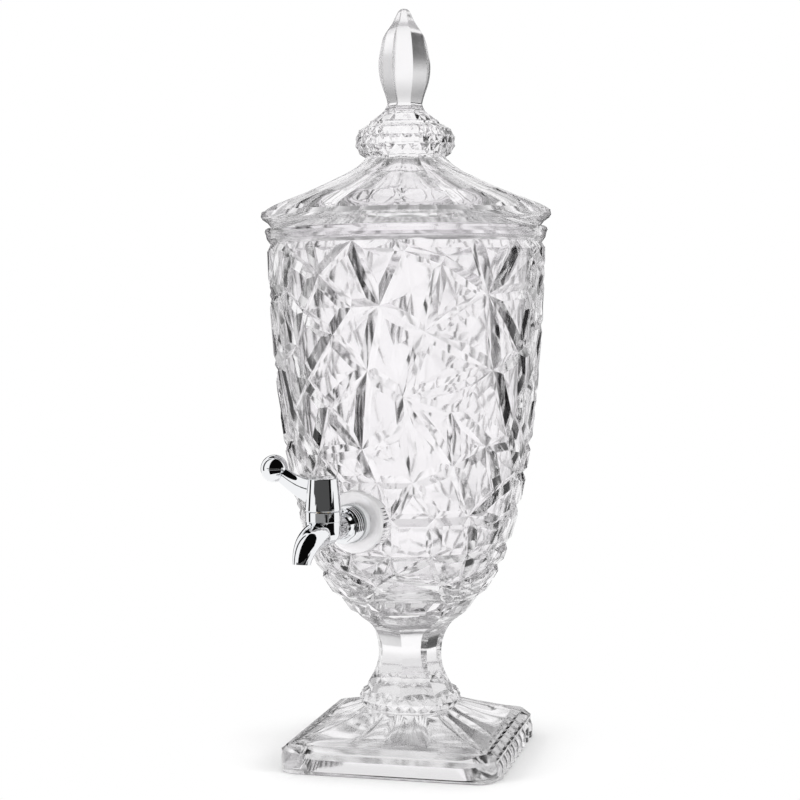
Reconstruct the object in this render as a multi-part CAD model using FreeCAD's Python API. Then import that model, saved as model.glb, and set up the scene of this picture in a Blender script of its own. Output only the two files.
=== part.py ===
import FreeCAD, Part
import math
import os

# Glass beverage dispenser on a square foot, with a turning tap.
# Millimetres. The origin is on the table under the middle of the foot, +Z is up,
# and the tap points along -Y. Angles run from -Y towards +X, in degrees.
# A rise is a height above the piece that carries the feature, and a reach is a distance
# from an upright axis along the tap.

V = FreeCAD.Vector
UP = V(0, 0, 1)
TAP_WAY = V(0, -1, 0)

# Square foot
PLINTH_SIDE = 142.0
PLINTH_HEIGHT = 13.3
PLINTH_CORNER = 13.0
HOLLOW_MARGIN = 11.0
HOLLOW_DEPTH = 7.0
HOLLOW_SLOPE = 3.0
FOOT_TURN = 11.0
BEVEL_WIDTH = 5.0
BEVEL_RISE = 4.0
RIB_COUNT = 9
RIB_MARGIN = 18.2
RIB_RADIUS = 7.5
RIB_PROUD = 2.2
RIB_TOP_DROP = 1.2

# Low pyramid on the foot, hollowed by petals that run down to its base
LEDGE_WIDTH = 2.5
PYRAMID_SINK = 2.5
PYRAMID_RISE = 13.7
PYRAMID_TOP_SIDE = 60.0
PETAL_COUNT = 16
PETAL_WIDTH = 11.5
PETAL_DEPTH = 2.2
PETAL_START_INSET = 1.0
PETAL_END_MARGIN = 3.5

# Diamond-cut collar at the foot of the stem
COLLAR_RADIUS = 34.0
COLLAR_BULGE = 8.5
COLLAR_RISE = 13.0
COLLAR_SINK = 0.5
COLLAR_COLUMNS = 24
COLLAR_ROWS = 4
DIAMOND_PROUD = 1.1
DIAMOND_LEAN = 75.0

# Eight-sided stem, as pairs of rise above the pyramid and corner radius
STEM_SIDES = 8
STEM_OUTLINE = [(11.0, 30.0), (18.0, 26.7), (26.0, 22.9), (35.0, 21.4),
                (44.0, 22.3), (51.0, 24.8), (58.0, 30.0), (66.0, 39.5)]

# Tank: a bowl whose radius narrows from the rim down, with a thick floor
TANK_HEIGHT = 251.0
TANK_RADIUS = 91.3
TANK_WALL = 6.5
FLOOR_THICK = 15.0
BOTTOM_LEDGE = 0.5
BOWL_OVERRUN = 5.0
BOWL_POWER = 1.8
BOWL_FULLNESS = 0.268
INSIDE_FULLNESS = 0.23
INSIDE_RINGS = 20
INSIDE_CROWDING = 2.5
BAND_HEIGHT = 10.0
BAND_BEVEL = 3.0
BAND_STEP = 0.3
# Rim of the band: inset from its widest radius and drop below its top
RIM_PROUD = 1.3
RIM_OUTLINE = [(0.9, 4.4), (0.0, 2.2), (0.5, 0.7), (1.6, 0.0)]

# Cut pattern of the tank: V-shaped grooves between raised cells
GROOVE_DEPTH = 2.5
GROOVE_HALF_WIDTH = 5.0
CELL_SHARE = 0.5
REPEAT_ANGLE = 120.0
CHORD_ANGLE = 16.0
ROUND_RISE = 73.0

# Crossings of the grooves over one third of the tank, row by row, as angle and rise
# above the tank's underside. The top row lies at the foot of the plain band.
# A number past a row's end means the same crossing on the next third.
CROSSINGS = {
    "a": [(-33, 241), (-16, 241), (3, 241), (22, 241), (53, 241), (76, 241)],
    "b": [(-29, 232), (-13, 220), (24, 234), (39, 226), (60, 207)],
    "c": [(-35, 210), (-23, 197), (2, 200), (14, 201), (32, 185)],
    "d": [(-29, 176), (-7, 183), (8, 161), (64, 160), (80, 170)],
    "e": [(-37, 135), (-23, 155), (-12, 138), (23, 145), (44, 135)],
    "f": [(-21, 107), (4, 112), (24, 125), (46, 101), (63, 112), (78, 114)],
    "g": [(-30, 91), (-8, 90), (10, 91), (27, 91), (72, 82)],
    "h": [(-30, 65), (-8, 68), (16, 68), (38, 68), (57, 68), (77, 61)],
    "i": [(-36, 43), (-10, 43), (15, 43), (38, 43), (60, 43)],
    "j": [(-33, 33), (-17, 30), (3, 22), (17, 31), (47, 22), (61, 25)],
    "k": [(-30, 9), (-10, 9), (57, 9), (70, 9)],
}

# Cells between the grooves, each named by its corners
CELLS = [
    "a0 a1 b1 b0", "a1 a2 b1", "a2 c3 c2 b1", "a2 a3 b2 c3", "b2 b3 c4 c3",
    "a3 a4 b4 b3 b2", "a4 a5 b4", "b3 b4 c4", "a5 a6 b5 c5 b4", "b0 b1 c1 c0",
    "b1 c2 d1 c1", "c1 d1 e1 d0", "c0 c1 d0", "c2 c3 d2 d1", "c3 c4 e3 d2",
    "b4 d3 c4", "b4 d4 d3", "b4 c5 d4", "c5 d5 d4", "d4 d5 e6 e5",
    "d3 d4 e5 f5", "c4 d3 e3", "d3 e4 e3", "d3 f5 f4 e4", "d1 d2 e2 e1",
    "e1 e2 f0 e0", "d2 f1 e2", "d2 e3 f2 f1", "e2 f1 f0", "e3 f3 g3 f2",
    "e3 e4 f3", "e4 f4 f3", "f4 f5 g5 g4", "e5 f6 g5 f5", "f3 f4 g4 h4",
    "f3 h4 h3 g3", "f1 f2 g3 g2", "g3 h3 h2", "g2 g3 h2", "f0 f1 g2 g1",
    "g1 g2 h2 h1", "f0 g1 g0", "g0 g1 h1 h0", "g4 g5 h6 h5 h4", "h0 h1 i1 i0",
    "h1 h2 i2 i1", "h2 h3 i3 i2", "h3 h4 i4 i3", "h4 h5 h6 i5 i4", "i0 i1 j1 j0",
    "i1 i2 j2 j1", "i2 j3 j2", "i2 i3 j3", "i3 j4 j3", "i3 i4 j5 j4",
    "i4 i5 j6 j5", "j0 j1 k1 k0", "j1 j2 k1", "j2 j3 j4 k2 k1", "j4 j5 k3 k2",
    "j5 j6 k4 k3",
]

# Lid
LID_GAP = 0.3
SEAT_INSET = 3.3
LIP_OVERHANG = 3.7
LIP_LIFT = 3.2
# Lip: inset from its widest radius and rise above its underside
LIP_OUTLINE = [(4.5, 0.0), (1.2, 2.2), (0.0, 4.2), (0.6, 7.0)]
SKIRT_GAP = 1.0
SKIRT_WALL = 5.0
SKIRT_DROP = 7.0
SKIRT_BEVEL = 1.0
FLUTE_COUNT = 16
FLUTE_TURN = -2.0
DOME_WALL = 6.5
DOME_SIDE_WALL = 10.0
HOLLOW_SHOULDER = (6.0, 3.0)
HOLLOW_TOP_RADIUS = 14.0
# Stations of the fluted dome: rise above the lip, inset of the ridges from the lip's
# radius, and depth of the flutes at that height
DOME_STATIONS = [(0.0, 0.0, 4.6), (6.0, 11.4, 4.0), (12.7, 28.6, 3.2),
                 (19.5, 44.0, 2.3), (25.9, 57.0, 1.4), (36.0, 69.0, 0.5)]
KNOP_RADIUS = 33.0
KNOP_BULGE = 9.5
KNOP_SINK = 1.0
KNOP_HEIGHT = 21.0
KNOP_COLUMNS = 26
KNOP_ROWS = 5
# Stations of the eight-sided finial's foot, rim and bud: rise above the knop and corner
# radius
FINIAL_SIDES = 8
FINIAL_TURN = -2.0
FINIAL_FOOT = [(-2.0, 26.0), (2.5, 22.8), (7.5, 16.3), (14.0, 11.9)]
FINIAL_RIM = [(0.2, 22.8), (0.9, 23.7), (2.1, 23.9), (2.9, 22.9)]
FINIAL_BUD = [(14.0, 11.9), (19.5, 13.4), (29.5, 16.8), (40.5, 17.7), (50.5, 16.0),
              (60.5, 12.0), (69.0, 6.4), (73.0, 4.4), (75.5, 1.0)]

# Round pad on the tank and the hole and pocket behind it
TAP_RISE = 66.5
BOSS_RADIUS = 19.8
BOSS_PROUD = 8.49
BOSS_ROUND = 2.5
PAD_GLASS = 10.4
POCKET_RADIUS = 15.5
SHANK_GAP = 0.5

# Shank, washers and nut
SHANK_RADIUS = 8.0
SHANK_BORE = 5.2
SHANK_TAIL = 5.0
THREAD_DEPTH = 0.9
THREAD_PITCH = 2.0
# Shares of the pitch where a thread ring starts, reaches its crest and leaves it
THREAD_PROFILE = (0.3, 0.55, 0.75)
THREAD_FIT = 0.1
THREAD_PAST_SEAT = 3.0
WASHER_RADIUS = 12.2
OUTER_WASHER_THICK = 5.0
INNER_WASHER_THICK = 2.5
BACKING_RADIUS = 11.6
BACKING_THICK = 1.0
NUT_ACROSS_FLATS = 22.0
NUT_THICK = 7.0
NUT_CHAMFER = 1.1

# Tap casting. Levels here are heights above the tap's level axis.
COLLAR_RIBS = 4
COLLAR_RIB_DEPTH = 0.8
# Shares of the ribs' pitch where a rib reaches its crest, leaves it and ends
COLLAR_RIB_PROFILE = (0.25, 0.65, 0.9)
TAP_COLLAR_RADIUS = 11.4
TAP_COLLAR_LENGTH = 10.0
NECK_RADIUS = 7.8
NECK_FLARE = 1.2
NECK_FLARE_LENGTH = 3.0
NECK_LENGTH = 24.0
BARREL_WALL = 3.9
BARREL_TOP = 5.8
BARREL_FLOOR = 2.6
BARREL_ROUND = 8.5
# Spout: reach from the barrel's axis, level, slope downwards, outside and bore radius
SPOUT_STATIONS = [(0.0, -1.2, 0.0, 8.2, 3.0), (9.5, -1.6, 10.0, 8.0, 3.4),
                  (19.5, -5.2, 40.0, 7.5, 4.0), (26.0, -11.2, 64.0, 6.2, 4.2),
                  (28.3, -16.4, 82.0, 5.4, 4.3)]

# Valve: a plug that turns in the barrel, held down by the bonnet ring
PLUG_RADIUS = 6.45
PLUG_FIT = 0.05
PLUG_LAND = 0.8
PORT_RADIUS = 3.0
INLET_WEB = 2.0
TUBE_WALL = 2.1
TUBE_RISE = 2.7
FLANGE_INSET = 0.3
FLANGE_THICK = 1.4
FLANGE_GAP = 0.05
LUG_PROUD = 1.3
LUG_GAP = 0.3
LUG_HALF_ANGLE = 12.0
LUG_SLACK_ANGLE = 2.0
PLUG_STEM_RADIUS = 4.4
PLUG_STEM_GAP = 0.3
DRIVE_SIDE = 5.6
DRIVE_RISE = 8.15
DRIVE_FIT = 0.05
DRIVE_END_GAP = 0.3
SEAL_WIRE = 0.7
SEAL_CLEARANCE = 0.03
LOWER_SEAL_MARGIN = 0.7
UPPER_SEAL_MARGIN = 2.2
BONNET_WALL = 0.8
BONNET_LID = 2.0
BONNET_FIT = 0.05
BONNET_SIDE_GAP = 0.3
BONNET_ROUND = 0.4

# Handle: cap, lever, ball. Rises here are above the cap's underside. The tap is closed
# when the lever stands square to the spout, and open when it points along the spout.
CLOSED_ANGLE = -90.0
OPEN_ANGLE = 0.0
CAP_GAP = 0.35
CAP_HEIGHT = 19.65
CAP_BASE_RADIUS = 11.0
CAP_TOP_RADIUS = 9.3
CAP_EDGE_ROUND = 0.6
# Lever stations: reach from the cap's axis, rise, slope upwards, half height, half width
LEVER_STATIONS = [(3.3, 10.6, 0.0, 8.2, 4.2), (11.2, 12.1, 16.0, 7.3, 4.0),
                  (18.1, 14.8, 26.0, 6.0, 3.7), (23.9, 18.0, 31.0, 5.3, 3.5),
                  (28.6, 21.0, 34.0, 4.9, 3.4)]
BALL_RADIUS = 8.4
BALL_DISTANCE = 5.5
STUD_RADIUS = 2.0
STUD_ROOT = 5.0
STUD_LENGTH = 6.0
STUD_FIT = 0.05
SCREW_RADIUS = 1.5
SCREW_HEAD_RADIUS = 2.8
SCREW_HEAD_THICK = 2.2
SCREW_HEAD_ROUND = 0.4
SCREW_LENGTH = 12.0
SCREW_SLOT_WIDTH = 0.8
SCREW_SLOT_DEPTH = 0.9
SCREW_WEB = 5.5
SCREW_GAP = 0.15
SCREW_END_GAP = 0.5
COVER_RADIUS = 5.5
COVER_THICK = 1.2
COVER_FIT = 0.05
COVER_ROUND = 0.3

# Cuts run this far past the face they open
PAST = 1.0


def pyramid_foot():
    return PLINTH_HEIGHT + BEVEL_RISE


def pyramid_top():
    return pyramid_foot() + PYRAMID_RISE


def tank_bottom():
    return pyramid_top() + STEM_OUTLINE[-1][0]


def rim_height():
    return tank_bottom() + TANK_HEIGHT


def lip_bottom():
    return rim_height() + LID_GAP + LIP_LIFT


def lip_top():
    return lip_bottom() + LIP_OUTLINE[-1][1]


def lip_radius():
    return TANK_RADIUS + LIP_OVERHANG


def knop_bottom():
    return lip_top() + DOME_STATIONS[-1][0] - KNOP_SINK


def tap_height():
    return tank_bottom() + TAP_RISE


def boss_reach():
    return tank_radius(tap_height()) + BOSS_PROUD


def seat_reach():
    """Reach of the pocket's flat face, where the inner washer bears."""
    return boss_reach() - PAD_GLASS


def shank_front():
    return boss_reach() + OUTER_WASHER_THICK


def backing_start():
    return seat_reach() - INNER_WASHER_THICK - BACKING_THICK


def nut_start():
    return backing_start() - NUT_THICK


def barrel_reach():
    return shank_front() + TAP_COLLAR_LENGTH + NECK_LENGTH


def chamber_radius():
    return PLUG_RADIUS + PLUG_FIT


def tube_radius():
    return chamber_radius() + TUBE_WALL


def tube_top():
    return BARREL_TOP + TUBE_RISE


def lower_seal():
    return -(PORT_RADIUS + LOWER_SEAL_MARGIN + SEAL_WIRE)


def upper_seal():
    return PORT_RADIUS + UPPER_SEAL_MARGIN + SEAL_WIRE


def chamber_floor():
    return lower_seal() - SEAL_WIRE - PLUG_LAND


def flange_bottom():
    return tube_top() + FLANGE_GAP


def flange_space_top():
    return flange_bottom() + FLANGE_THICK + FLANGE_GAP


def lug_radius():
    return tube_radius() - FLANGE_INSET + LUG_PROUD


def bonnet_radius():
    return lug_radius() + LUG_GAP + BONNET_WALL


def bonnet_top():
    return flange_space_top() + BONNET_LID


def cap_base():
    return bonnet_top() + CAP_GAP


def cap_top():
    return cap_base() + CAP_HEIGHT


def drive_top():
    return cap_base() + DRIVE_RISE


def screw_seat():
    return drive_top() + SCREW_WEB


def polar(radius, angle, height):
    turn = math.radians(angle)
    return V(radius * math.sin(turn), -radius * math.cos(turn), height)


def lathe(outline):
    """Turn an outline of (radius, height) points about the upright axis."""
    points = [V(radius, 0, height) for radius, height in outline]
    face = Part.Face(Part.makePolygon(points + points[:1]))
    return face.revolve(V(0, 0, 0), UP, 360)


def along_tap(outline):
    """Turn an outline of (reach, radius) points about the tap's level axis."""
    points = [V(radius, -reach, tap_height()) for reach, radius in outline]
    face = Part.Face(Part.makePolygon(points + points[:1]))
    return face.revolve(V(0, 0, tap_height()), TAP_WAY, 360)


def tap_ring(start, length, outside, inside):
    return along_tap([(start, inside), (start, outside),
                      (start + length, outside), (start + length, inside)])


def on_barrel(level):
    """Point on the barrel's upright axis, at a level above the tap's axis."""
    return V(0, -barrel_reach(), tap_height() + level)


def barrel_rod(radius, bottom, top):
    """Upright round rod on the barrel's axis, between two levels."""
    return Part.makeCylinder(radius, top - bottom, on_barrel(bottom), UP)


def barrel_box(side, bottom, top):
    """Upright square rod on the barrel's axis, between two levels."""
    corner = on_barrel(bottom) - V(side / 2, side / 2, 0)
    return Part.makeBox(side, side, top - bottom, corner)


def sector(radius, bottom, top, start, end):
    """Slice of a round rod on the barrel's axis between two angles."""
    middle = on_barrel(bottom)
    corners = [middle + polar(radius * 2, start + (end - start) * step / 4, 0)
               for step in range(5)]
    wedge = Part.Face(Part.makePolygon([middle] + corners + [middle]))
    return wedge.extrude(V(0, 0, top - bottom)).common(barrel_rod(radius, bottom, top))


def ring_of_corners(radius, sides, height, turn=0.0):
    """Closed polygon wire whose first corner lies at the turn angle."""
    points = [polar(radius, turn + 360.0 * i / sides, height) for i in range(sides)]
    return Part.makePolygon(points + points[:1])


def rounded_square(side, height, corner):
    half = side / 2
    flat = Part.makeBox(side, side, 1, V(-half, -half, height))
    upright = [edge for edge in flat.Edges if abs(edge.Vertexes[0].Z - edge.Vertexes[1].Z) > 0.5]
    slab = flat.makeFillet(corner, upright)
    return next(face for face in slab.Faces if abs(face.CenterOfMass.z - height) < 0.01).OuterWire


def facet_solid(triangles):
    """Solid bounded by flat triangles, given as triples of points."""
    index = {}
    points = []
    facets = []
    for triangle in triangles:
        numbers = []
        for point in triangle:
            key = (round(point.x, 4), round(point.y, 4), round(point.z, 4))
            if key not in index:
                index[key] = len(points)
                points.append(V(*key))
            numbers.append(index[key])
        if len(set(numbers)) == 3:
            facets.append(tuple(numbers))
    shape = Part.Shape()
    shape.makeShapeFromMesh((points, facets), 0.001)
    solid = Part.Solid(Part.Shell(shape.Faces))
    if solid.Volume < 0:
        solid.reverse()
    return solid


def fan(ring, centre):
    return [(centre, ring[i], ring[(i + 1) % len(ring)]) for i in range(len(ring))]


def strip(lower, upper):
    """Triangles between two rings with the same number of points."""
    found = []
    for i in range(len(lower)):
        j = (i + 1) % len(lower)
        found.append((lower[i], lower[j], upper[j]))
        found.append((lower[i], upper[j], upper[i]))
    return found


def diamond_ring(radius, bulge, bottom, top, columns, rows):
    """Round ring whose outside is cut into rows of small raised diamonds."""
    middle = (bottom + top) / 2
    half_height = (top - bottom) / 2
    half_step = 180.0 / columns

    def place(row, column, proud):
        lean = math.radians(DIAMOND_LEAN * (2 * row / rows - 1))
        out = radius - bulge + (bulge - DIAMOND_PROUD + proud) * math.cos(lean)
        height = middle + half_height * math.sin(lean) / math.sin(math.radians(DIAMOND_LEAN))
        return polar(out, half_step * column, height)

    triangles = []
    for row in range(rows + 1):
        for column in range((row + 1) % 2, 2 * columns, 2):
            left = place(row, column - 1, 0)
            right = place(row, column + 1, 0)
            if row == 0:
                triangles.append((left, right, place(1, column, 0)))
            elif row == rows:
                triangles.append((right, left, place(rows - 1, column, 0)))
            else:
                peak = place(row, column, DIAMOND_PROUD)
                above = place(row + 1, column, 0)
                below = place(row - 1, column, 0)
                triangles += [(peak, left, below), (peak, below, right),
                              (peak, right, above), (peak, above, left)]
    for row, level, flip in ((0, bottom, True), (rows, top, False)):
        ring = [place(row, column, 0) for column in range(row % 2, 2 * columns, 2)]
        if flip:
            ring.reverse()
        triangles += fan(ring, V(0, 0, level))
    return facet_solid(triangles)


def bowl_radius(height, radius, depth, fullness):
    """Radius of a bowl that narrows from the rim and closes at the given depth."""
    down = min(max((rim_height() - height) / depth, 0.0), 1.0)
    return radius * (1 - down ** BOWL_POWER) ** fullness


def tank_radius(height):
    return bowl_radius(height, TANK_RADIUS, TANK_HEIGHT + BOWL_OVERRUN, BOWL_FULLNESS)


def inside_radius(height):
    return bowl_radius(height, TANK_RADIUS - TANK_WALL, TANK_HEIGHT - FLOOR_THICK,
                       INSIDE_FULLNESS)


def pattern_height(rise):
    """Height of a crossing, with the top row at the foot of the plain band."""
    stretch = (TANK_HEIGHT - BAND_HEIGHT) / CROSSINGS["a"][0][1]
    return tank_bottom() + rise * stretch


def crossing(name):
    row = CROSSINGS[name[0]]
    repeats, place = divmod(int(name[1:]), len(row))
    angle, rise = row[place]
    return angle + repeats * REPEAT_ANGLE, pattern_height(rise)


def groove_point(angle, height):
    return polar(tank_radius(height) - GROOVE_DEPTH, angle, height)


def cell_border(names, turn):
    """Corners of a cell, with more points on edges that must follow the round wall."""
    corners = [crossing(name) for name in names.split()]
    border = []
    for (angle, height), (next_angle, next_height) in zip(corners, corners[1:] + corners[:1]):
        parts = 1
        if min(height, next_height) > pattern_height(ROUND_RISE):
            parts = max(1, math.ceil(abs(next_angle - angle) / CHORD_ANGLE))
        for i in range(parts):
            share = i / parts
            border.append(groove_point(turn + angle + (next_angle - angle) * share,
                                       height + (next_height - height) * share))
    return border


def raised_border(border):
    """The cell's border drawn in by the groove's half width and set out on the wall."""
    centre = sum(border, V(0, 0, 0)) * (1.0 / len(border))
    normal = V(0, 0, 0)
    perimeter = 0
    for here, after in zip(border, border[1:] + border[:1]):
        normal += (here - centre).cross(after - centre)
        perimeter += (after - here).Length
    area = normal.Length / 2
    normal.normalize()
    width = min(GROOVE_HALF_WIDTH, CELL_SHARE * 2 * area / perimeter)
    raised = []
    for i, corner in enumerate(border):
        into = (corner - border[i - 1]).normalize()
        onward = (border[(i + 1) % len(border)] - corner).normalize()
        first = normal.cross(into).normalize()
        second = normal.cross(onward).normalize()
        point = corner + (first + second) * (width / (1 + first.dot(second)))
        angle = math.degrees(math.atan2(point.x, -point.y))
        raised.append(polar(tank_radius(point.z), angle, point.z))
    return raised


def cell_facets(border):
    raised = raised_border(border)
    centre = sum(raised, V(0, 0, 0)) * (1.0 / len(raised))
    return strip(border, raised) + fan(raised, centre)


def tank_pattern():
    """The cut outside of the tank, closed by flat faces above and below."""
    triangles = []
    top_ring = {}
    for repeat in range(round(360 / REPEAT_ANGLE)):
        turn = repeat * REPEAT_ANGLE
        for names in CELLS:
            border = cell_border(names, turn)
            border.reverse()
            triangles += cell_facets(border)
            for point in border:
                if abs(point.z - crossing("a0")[1]) < 0.001:
                    top_ring[round(math.atan2(point.x, -point.y), 5)] = point
    top = [top_ring[angle] for angle in sorted(top_ring)]
    triangles += fan(top, V(0, 0, top[0].z))
    bottom_radius = STEM_OUTLINE[-1][1] + BOTTOM_LEDGE
    low = []
    under = []
    for repeat in range(round(360 / REPEAT_ANGLE)):
        for angle, rise in CROSSINGS["k"]:
            turned = angle + repeat * REPEAT_ANGLE
            low.append(groove_point(turned, pattern_height(rise)))
            under.append(polar(bottom_radius, turned, tank_bottom()))
    triangles += strip(under, low)
    triangles += fan(under[::-1], V(0, 0, tank_bottom()))
    return facet_solid(triangles)


def tank_rim():
    """Plain band above the pattern, with a rounded rim."""
    foot = rim_height() - BAND_HEIGHT
    outline = [(0, foot), (tank_radius(foot) - GROOVE_DEPTH + BAND_STEP, foot),
               (tank_radius(foot + BAND_BEVEL), foot + BAND_BEVEL)]
    outline += [(TANK_RADIUS + RIM_PROUD - inset, rim_height() - drop)
                for inset, drop in RIM_OUTLINE]
    return lathe(outline + [(0, rim_height())])


def tank_hollow():
    """Smooth inside of the tank, as short cones that crowd together near the floor."""
    floor = tank_bottom() + FLOOR_THICK
    outline = [(0, floor)]
    for i in range(1, INSIDE_RINGS + 1):
        share = (i / INSIDE_RINGS) ** INSIDE_CROWDING
        height = floor + (rim_height() - floor) * share
        outline.append((inside_radius(height), height))
    return lathe(outline + [(0, rim_height())])


def tank():
    face = boss_reach()
    shoulder = BOSS_ROUND * (1 - math.sqrt(0.5))
    boss = along_tap([(0, 0), (0, BOSS_RADIUS), (face - BOSS_ROUND, BOSS_RADIUS),
                      (face - shoulder, BOSS_RADIUS - shoulder),
                      (face, BOSS_RADIUS - BOSS_ROUND), (face, 0)])
    pocket = tap_ring(0, seat_reach(), POCKET_RADIUS, 0)
    hole = tap_ring(0, face + PAST, SHANK_RADIUS + SHANK_GAP, 0)
    return tank_pattern().fuse([tank_rim(), boss]).cut([tank_hollow(), pocket, hole])


def pyramid_half():
    """Half side of the pyramid's lower edge."""
    return PLINTH_SIDE / 2 - BEVEL_WIDTH - LEDGE_WIDTH


def pyramid():
    sections = [(pyramid_half(), pyramid_foot() - PYRAMID_SINK),
                (pyramid_half(), pyramid_foot()), (PYRAMID_TOP_SIDE / 2, pyramid_top())]
    shape = Part.makeLoft([ring_of_corners(half * math.sqrt(2), 4, height, 45)
                           for half, height in sections], True, True)
    for cut in petal_cuts():
        shape = shape.cut(cut)
    return shape


def foot_ribs():
    """Upright half-round ribs with domed tops on the left and right faces."""
    inset = PLINTH_SIDE / 2 + RIB_PROUD - RIB_RADIUS
    dome_rise = math.sqrt(RIB_RADIUS ** 2 - (RIB_RADIUS - RIB_PROUD) ** 2)
    shoulder = PLINTH_HEIGHT - RIB_TOP_DROP - dome_rise
    first = RIB_MARGIN - PLINTH_SIDE / 2
    pitch = -2 * first / (RIB_COUNT - 1)
    ribs = []
    for side in (-1, 1):
        for i in range(RIB_COUNT):
            place = V(side * inset, first + i * pitch, 0)
            ribs.append(Part.makeCylinder(RIB_RADIUS, shoulder, place, UP))
            ribs.append(Part.makeSphere(RIB_RADIUS, place + V(0, 0, shoulder), UP))
    size = PLINTH_SIDE + 2 * RIB_PROUD
    height = PLINTH_HEIGHT - RIB_TOP_DROP
    slab = Part.makeBox(size, size, height, V(-size / 2, -size / 2, 0))
    return [rib.common(slab) for rib in ribs]


def petal_cuts():
    """Round-edged wheels that hollow the pyramid along its slope."""
    start = PYRAMID_TOP_SIDE / 2 - PETAL_START_INSET
    fall = PYRAMID_RISE / (pyramid_half() - PYRAMID_TOP_SIDE / 2)
    edge = (PETAL_WIDTH ** 2 / 4 + PETAL_DEPTH ** 2) / (2 * PETAL_DEPTH)
    cuts = []
    for i in range(PETAL_COUNT):
        angle = i * 360.0 / PETAL_COUNT
        square = max(abs(math.sin(math.radians(angle))), abs(math.cos(math.radians(angle))))
        end = (pyramid_half() - PETAL_END_MARGIN) / square
        middle = (start + end) / 2
        slope = math.atan(fall * square)
        half_length = (end - start) / 2 / math.cos(slope)
        wheel = (half_length ** 2 + PETAL_DEPTH ** 2) / (2 * PETAL_DEPTH)
        level = pyramid_top() - fall * (middle * square - PYRAMID_TOP_SIDE / 2)
        lift = wheel - PETAL_DEPTH
        centre = V(0, -middle - lift * math.sin(slope), level + lift * math.cos(slope))
        cut = Part.makeTorus(wheel - edge, edge, centre, V(1, 0, 0))
        cut.rotate(V(0, 0, 0), UP, angle)
        cuts.append(cut)
    return cuts


def pedestal():
    plinth = Part.makeLoft([rounded_square(PLINTH_SIDE, 0, PLINTH_CORNER),
                            rounded_square(PLINTH_SIDE, PLINTH_HEIGHT, PLINTH_CORNER),
                            rounded_square(PLINTH_SIDE - 2 * BEVEL_WIDTH, pyramid_foot(),
                                           PLINTH_CORNER - BEVEL_WIDTH)], True, True)
    hollow_side = PLINTH_SIDE - 2 * HOLLOW_MARGIN
    hollow = Part.makeLoft([rounded_square(hollow_side, 0, PLINTH_CORNER),
                            rounded_square(hollow_side - 2 * HOLLOW_SLOPE, HOLLOW_DEPTH,
                                           PLINTH_CORNER)], True, True)
    collar = diamond_ring(COLLAR_RADIUS, COLLAR_BULGE, pyramid_top() - COLLAR_SINK,
                          pyramid_top() + COLLAR_RISE, COLLAR_COLUMNS, COLLAR_ROWS)
    stem = Part.makeLoft([ring_of_corners(radius, STEM_SIDES, pyramid_top() + rise)
                          for rise, radius in STEM_OUTLINE], True, False)
    foot = plinth.fuse(foot_ribs()).cut(hollow)
    shape = foot.fuse([pyramid(), collar, stem])
    shape.rotate(V(0, 0, 0), UP, FOOT_TURN)
    return shape


def flute_wire(height, ridge, depth):
    """Ring of hollow arcs that meet in ridges."""
    step = 360.0 / FLUTE_COUNT
    dip = ridge * math.cos(math.radians(step / 2)) - depth
    edges = []
    for i in range(FLUTE_COUNT):
        start = FLUTE_TURN + i * step
        edges.append(Part.Arc(polar(ridge, start, height), polar(dip, start + step / 2, height),
                              polar(ridge, start + step, height)).toShape())
    return Part.Wire(edges)


def finial(stations, straight):
    """Eight-sided length of the finial through stations above the knop."""
    top = knop_bottom() + KNOP_HEIGHT
    return Part.makeLoft([ring_of_corners(radius, FINIAL_SIDES, top + rise, FINIAL_TURN)
                          for rise, radius in stations], True, straight)


def lid_hollow(mouth):
    """Space under the dome, from the skirt's mouth up."""
    seat = rim_height() + LID_GAP
    dome_top = lip_top() + DOME_STATIONS[-1][0] - DOME_WALL
    shoulder_inset, shoulder_rise = HOLLOW_SHOULDER
    outline = [(0, seat - SKIRT_DROP), (mouth, seat - SKIRT_DROP), (mouth, seat),
               (mouth - shoulder_inset, seat + shoulder_rise)]
    for rise, inset, _ in DOME_STATIONS[2:5:2]:
        outline.append((lip_radius() - inset - DOME_SIDE_WALL, lip_top() + rise - DOME_WALL))
    return lathe(outline + [(HOLLOW_TOP_RADIUS, dome_top), (0, dome_top)])


def lid():
    seat = rim_height() + LID_GAP
    skirt = TANK_RADIUS - TANK_WALL - SKIRT_GAP
    lip = [(lip_radius() - inset, lip_bottom() + rise) for inset, rise in LIP_OUTLINE]
    ring = lathe([(0, seat), (TANK_RADIUS - SEAT_INSET, seat)] + lip + [(0, lip_top())])
    plug = lathe([(0, seat - SKIRT_DROP), (skirt - SKIRT_BEVEL, seat - SKIRT_DROP),
                  (skirt, seat - SKIRT_DROP + SKIRT_BEVEL), (skirt, seat), (0, seat)])
    dome = Part.makeLoft([flute_wire(lip_top() + rise, lip_radius() - inset, depth)
                          for rise, inset, depth in DOME_STATIONS], True, False)
    knop = diamond_ring(KNOP_RADIUS, KNOP_BULGE, knop_bottom(), knop_bottom() + KNOP_HEIGHT,
                        KNOP_COLUMNS, KNOP_ROWS)
    shape = ring.fuse([plug, dome, knop, finial(FINIAL_FOOT, False), finial(FINIAL_RIM, True),
                       finial(FINIAL_BUD, False)])
    return shape.cut(lid_hollow(skirt - SKIRT_WALL))


def threaded_shank():
    """Shank with its thread drawn as plain rings."""
    tail = nut_start() - SHANK_TAIL
    root = SHANK_RADIUS - THREAD_DEPTH
    outline = [(tail, 0), (tail, root)]
    turns = int((seat_reach() + THREAD_PAST_SEAT - tail) / THREAD_PITCH)
    foot, crest, crest_end = [share * THREAD_PITCH for share in THREAD_PROFILE]
    for i in range(turns):
        start = tail + i * THREAD_PITCH
        outline += [(start + foot, root), (start + crest, SHANK_RADIUS),
                    (start + crest_end, SHANK_RADIUS), (start + THREAD_PITCH, root)]
    outline += [(shank_front(), root), (shank_front(), 0)]
    return along_tap(outline)


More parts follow.
